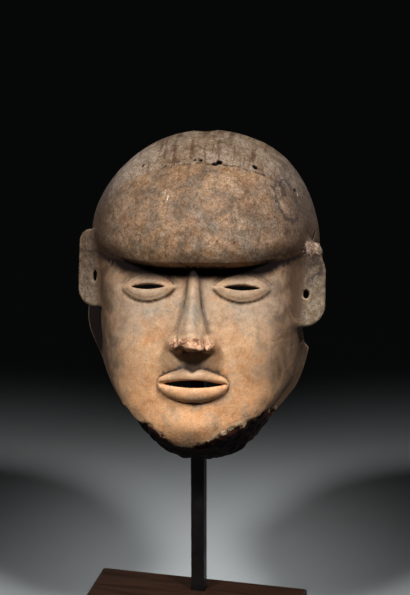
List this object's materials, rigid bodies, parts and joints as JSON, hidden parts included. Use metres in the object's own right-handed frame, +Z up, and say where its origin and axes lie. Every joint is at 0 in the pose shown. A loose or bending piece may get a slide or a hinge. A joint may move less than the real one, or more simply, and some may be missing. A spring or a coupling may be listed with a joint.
{
  "type": "carved face mask on stand",
  "caption": "Carved wooden face mask with a domed brow and a hollow back, held up leaning back on a square steel rod that stands on a wooden block.",
  "frame": {"origin": "middle of the rod's axis at the underside of the block", "axes": "+Z up along the rod, -Z out of the block's underside, -Y towards the viewer that the mask faces, +X to that viewer's right"},
  "size_m": [0.1842, 0.173, 0.3847],
  "materials": {
    "carved_wood": "hand-carved, worn satin with grey and ochre patina, dark and rough under the chin and inside",
    "blackened_steel": "satin black-brown paint",
    "block_wood": "stained brown, satin"
  },
  "bodies": {
    "root": {"mask": "carved_wood", "stand_rod": "blackened_steel", "stand_base": "block_wood"}
  },
  "joints": []
}
